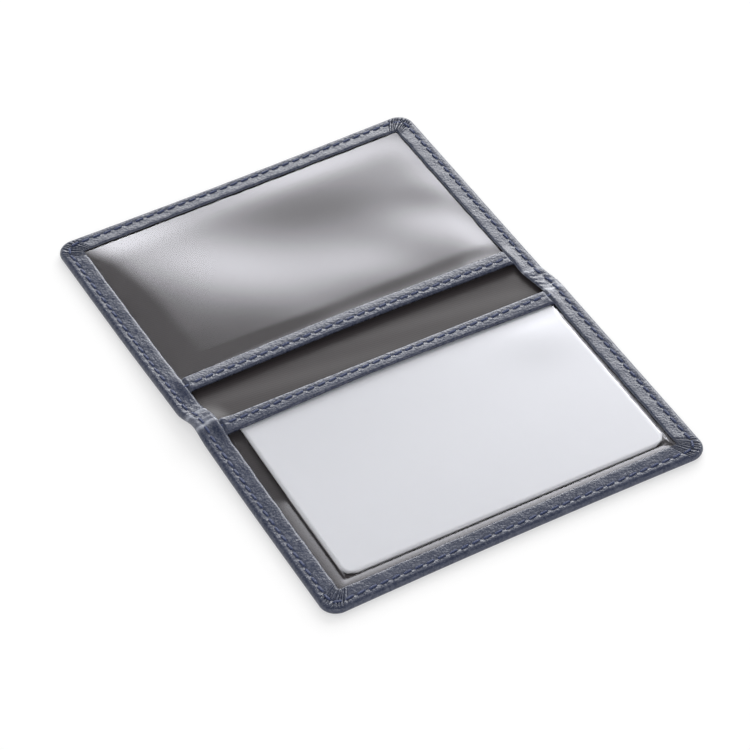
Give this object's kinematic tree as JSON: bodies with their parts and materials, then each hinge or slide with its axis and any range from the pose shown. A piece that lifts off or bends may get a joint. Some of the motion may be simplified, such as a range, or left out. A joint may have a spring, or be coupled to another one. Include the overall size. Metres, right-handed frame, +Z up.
{
  "type": "badge holder",
  "caption": "Bifold leather badge holder lying open, with a clear window pocket in each half and a loose identity card.",
  "frame": {"origin": "under the middle of the fold, on the surface that the open holder lies on", "axes": "+X along the fold, +Y across it from the half with the card to the empty half, +Z up out of the windows"},
  "size_m": [0.1016, 0.1448, 0.0037],
  "materials": {
    "leather": "fine-grained slate navy leather, satin",
    "lining": "ribbed dark grey nylon",
    "vinyl": "clear soft vinyl sheet",
    "thread": "navy sewing thread",
    "card": "pale grey plastic card"
  },
  "bodies": {
    "front_half": {"front_cover": "leather", "front_lining": "lining", "front_window": "vinyl", "front_binding": "leather", "front_edge_thread": "thread", "front_binding_thread": "thread"},
    "spine": {"spine_cover": "leather", "spine_lining": "lining", "left_fold_thread": "thread", "right_fold_thread": "thread"},
    "back_half": {"back_cover": "leather", "back_lining": "lining", "back_window": "vinyl", "back_binding": "leather", "back_edge_thread": "thread", "back_binding_thread": "thread"},
    "card": {"id_card": "card"}
  },
  "joints": [
    {"name": "front_fold", "type": "hinge", "parent": "front_half", "child": "spine", "pos_m": [0, -0.00321, 0.0011], "axis": [1, 0, 0], "range_deg": [0, 90]},
    {"name": "back_fold", "type": "hinge", "parent": "spine", "child": "back_half", "pos_m": [0, 0.00321, 0.0011], "axis": [1, 0, 0], "range_deg": [0, 90]},
    {"name": "card_slide", "type": "slide", "parent": "front_half", "child": "card", "axis": [0, 1, 0], "range_m": [0, 0.0034]}
  ],
  "couplings": [
    {"joint": "front_fold", "follows": "back_fold", "ratio": 1}
  ]
}
